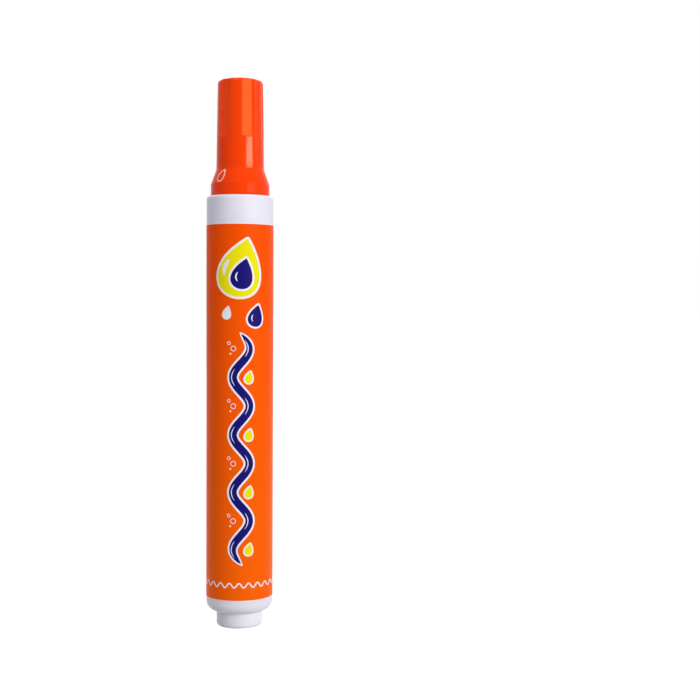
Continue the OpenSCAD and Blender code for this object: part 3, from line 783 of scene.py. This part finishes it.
cap_plastic = moulded("orange_polypropylene", CAP_ORANGE, CAP_ROUGHNESS, CAP_RIPPLE, CAP_SCATTER)
join(cap_plastic, {"Specular IOR Level": 0.115, "Specular Tint": CAP_TINT, "Subsurface Weight": 0.06})
eroded_plastic = moulded("eroded_orange_polypropylene", CAP_ORANGE, ERODED_ROUGHNESS, ERODED_RIPPLE,
                         CAP_SCATTER)
join(eroded_plastic, {"Specular IOR Level": 0.45, "Specular Tint": ERODED_TINT,
                      "Subsurface Weight": 0.06})
finish_piece(cap, cap_plastic, "cap", "cap_plastic", "cap_shell")
face_x, face_y, face_z = np.array([face.center for face in cap.data.polygons]).T
within_flat = flat_share(np.arctan2(face_x, -face_y), face_z)[1] * (np.hypot(face_x, face_y) > LINER_R)
second_finish(cap, eroded_plastic, within_flat > IN_FLAT)


# Cap mark. The outline of a small leaning drop, printed on the cone in thin ink whose light peach colour
# is partly print and partly a painted highlight, for the light that its raised edges would catch. The ink
# stands up as a low round ridge.
MARK_INK_AND_HIGHLIGHT = (0.97, 0.62, 0.48, 1)
MARK_ANGLE = math.radians(-39)
MARK_SIZE = (1.5 * MM, 2.6 * MM)
MARK_MARGIN = 0.25 * MM
MARK_LEAN = math.radians(-24)
MARK_PLACE = (0, (BAND_TOP + CONE_TOP) / 2)
RIDGE = 0.16 * MM
RIDGE_POINTS = 16
outer_wall = cap_outline[np.argmax(cap_outline[:, 0]):]
outer_wall = outer_wall[outer_wall[:, 1] < FLAT_FOOT]


def ridge(outline):
    """A low round ridge of ink along a closed outline on the cone. Its section is a circle of the
    ridge's half width, flattened to a half, with its middle in the cone's wall."""
    run = np.roll(outline, -1, 0) - np.roll(outline, 1, 0)
    side = np.stack([-run[:, 1], run[:, 0]], -1) / np.linalg.norm(run, axis=1, keepdims=True)
    turn = np.linspace(0, 2 * math.pi, RIDGE_POINTS, endpoint=False)[None, :, None]
    points = outline[:, None] + RIDGE * np.cos(turn) * side[:, None]
    radius = np.interp(points[..., 1], outer_wall[:, 1], outer_wall[:, 0])
    return round_axis(MARK_ANGLE + points[..., 0] / radius, radius + RIDGE * np.sin(turn[..., 0]) / 2,
                      points[..., 1])


mark_line = placed(drop(*MARK_SIZE, MARK_MARGIN), MARK_LEAN, MARK_PLACE)
mark = surface("cap_mark", ridge(mark_line), wrap_rows=True)
# The mark's light peach ink is partly print and partly a painted highlight.
finish_piece(mark, printed("mark_ink_and_painted_highlight", MARK_INK_AND_HIGHLIGHT), "cap", "white_plastic")


# Studio. A white floor and a white surround, with a bright bar, a soft box and a narrow strip
# on the right, a large box high up behind and a small one overhead, to the left. The camera
# stands 33 cm in front of the pen, a little to the right.
SURROUND = (0.97, 0.935, 1.11, 1)
SURROUND_STRENGTH = 0.23
PURE_WHITE = (1, 1, 1, 1)
FLOOR = (0.56, 0.58, 0.56, 1)
FLOOR_GLOW = 0.95
FLOOR_SIZE = 30
CAMERA_PLACE = (28.22 * MM, -330.9 * MM, 81.0 * MM)
CAMERA_TILT = math.radians(90 - 1.75)
CAMERA_ROLL = math.radians(-0.26)
CAMERA_LENS = 66.34
CAMERA_SENSOR = 36

# Each lamp's radiance, width, height, azimuth, distance, height of its middle, and tilt, in
# metres and degrees
LAMPS = {"bar_light": (52, 0.56, 0.060, 49.5, 1.05, 0.284, 0),
         "soft_box": (2.5, 0.90, 0.52, 30, 1.05, 0.68, 0),
         "side_strip": (14, 0.06, 0.13, 88, 1.05, 0.33, 0),
         "back_box": (3.8, 1.60, 0.60, 185, 1.05, 1.05, 40),
         "top_box": (9.5, 0.30, 0.24, -30, 0.35, 0.85, 68)}


def area_light(name, radiance, width, height, azimuth, distance, middle, tilt):
    """A flat rectangle of even light that faces the pen's axis, tilted down by an angle. The azimuth is
    counted to the right from the pen's front, and the power is the radiance times the area and pi."""
    lamp = bpy.data.lights.new(name, "AREA")
    lamp.shape = "RECTANGLE"
    lamp.size = width
    lamp.size_y = height
    lamp.energy = radiance * width * height * math.pi
    light = bpy.data.objects.new(name, lamp)
    turn = math.radians(azimuth)
    light.location = (distance * math.sin(turn), -distance * math.cos(turn), middle)
    light.rotation_euler = (math.radians(90 - tilt), 0, turn)
    bpy.context.scene.collection.objects.link(light)


def larger(owner, first, second):
    """The larger of two numbers."""
    return wire(owner, "ShaderNodeMath", {0: first, 1: second}, operation="MAXIMUM").outputs[0]


def shows_white(owner):
    """1 for the rays by which the camera sees a background, straight, in a gloss or through something
    clear, and 0 for the rays that light the object."""
    ray = wire(owner, "ShaderNodeLightPath", {}).outputs
    in_gloss_or_glass = larger(owner, ray["Is Glossy Ray"], ray["Is Transmission Ray"])
    return larger(owner, ray["Is Camera Ray"], in_gloss_or_glass)


for name, lamp in LAMPS.items():
    area_light(name, *lamp)

studio = bpy.data.worlds.new("white_surround")
bpy.context.scene.world = studio
studio.use_nodes = True
surround = studio.node_tree.nodes["Background"]
set_inputs(studio, surround, {"Color": SURROUND, "Strength": SURROUND_STRENGTH})
white = wire(studio, "ShaderNodeBackground", {"Color": PURE_WHITE})
choose = wire(studio, "ShaderNodeMixShader",
              {0: shows_white(studio), 1: surround.outputs[0], 2: white.outputs[0]})
set_inputs(studio, studio.node_tree.nodes["World Output"], {"Surface": choose.outputs[0]})

bpy.ops.mesh.primitive_plane_add(size=FLOOR_SIZE, location=(0, 0, 0))
floor = bpy.context.object
floor.name = "floor"
pale = blank("pale_floor")
join(pale, {"Base Color": FLOOR, "Roughness": 0.9, "Specular IOR Level": 0})
glow = wire(pale, "ShaderNodeEmission", {"Color": PURE_WHITE, "Strength": FLOOR_GLOW})
lit = wire(pale, "ShaderNodeMixShader", {0: shows_white(pale), 2: glow.outputs[0]})
matt = pale.node_tree.nodes["Principled BSDF"]
both = wire(pale, "ShaderNodeAddShader", {0: matt.outputs[0], 1: lit.outputs[0]})
set_inputs(pale, pale.node_tree.nodes["Material Output"], {"Surface": both.outputs[0]})
floor.data.materials.append(pale)

camera_data = bpy.data.cameras.new("camera")
camera_data.lens = CAMERA_LENS
camera_data.sensor_width = CAMERA_SENSOR
camera = bpy.data.objects.new("camera", camera_data)
camera.location = CAMERA_PLACE
camera.rotation_euler = (CAMERA_TILT, CAMERA_ROLL, 0)
bpy.context.scene.collection.objects.link(camera)
bpy.context.scene.camera = camera
bpy.context.scene.view_settings.view_transform = "Standard"
